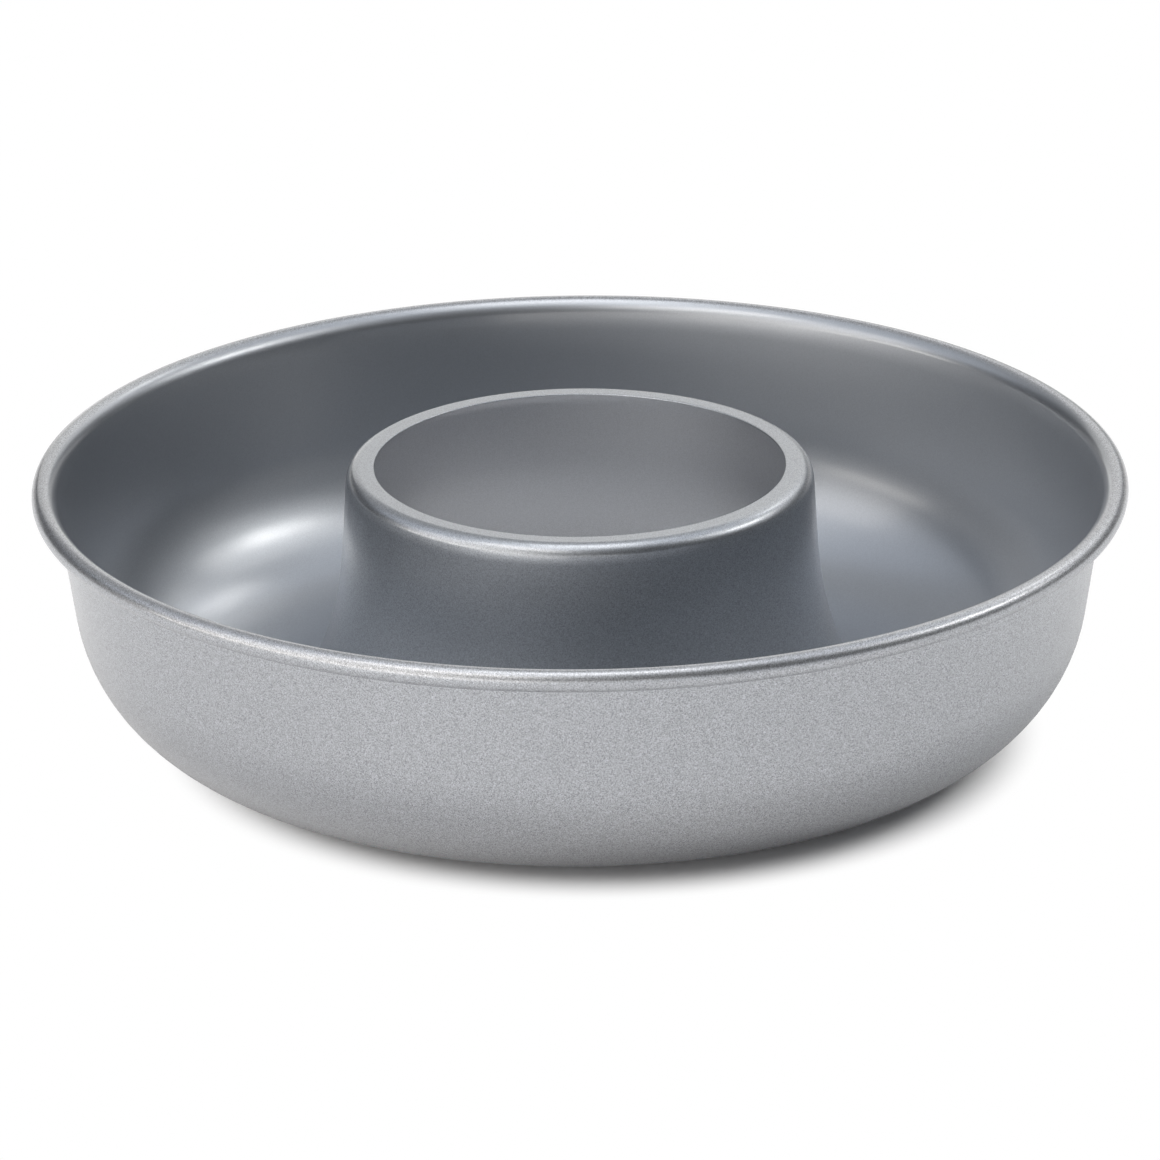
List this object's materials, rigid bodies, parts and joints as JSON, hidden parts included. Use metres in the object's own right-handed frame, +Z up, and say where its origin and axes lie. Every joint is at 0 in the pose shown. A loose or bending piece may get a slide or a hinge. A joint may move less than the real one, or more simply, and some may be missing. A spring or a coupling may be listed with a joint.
{
  "type": "savarin mould",
  "caption": "Round ring cake mould of coated sheet steel, with a rounded channel, an open centre tube and a rolled rim.",
  "frame": {"origin": "centre of the circle that the mould rests on, on the resting plane", "axes": "+Z up along the axis of revolution, out of the channel's open side; +X and +Y are any two directions across it"},
  "size_m": [0.26, 0.26, 0.0654],
  "materials": {
    "nonstick_steel": "silver-grey metallic non-stick coat, satin, with a fine sparkle",
    "wire_steel": "bright drawn steel wire"
  },
  "bodies": {
    "root": {"mould_shell": "nonstick_steel", "rim_wire": "wire_steel"}
  },
  "joints": []
}
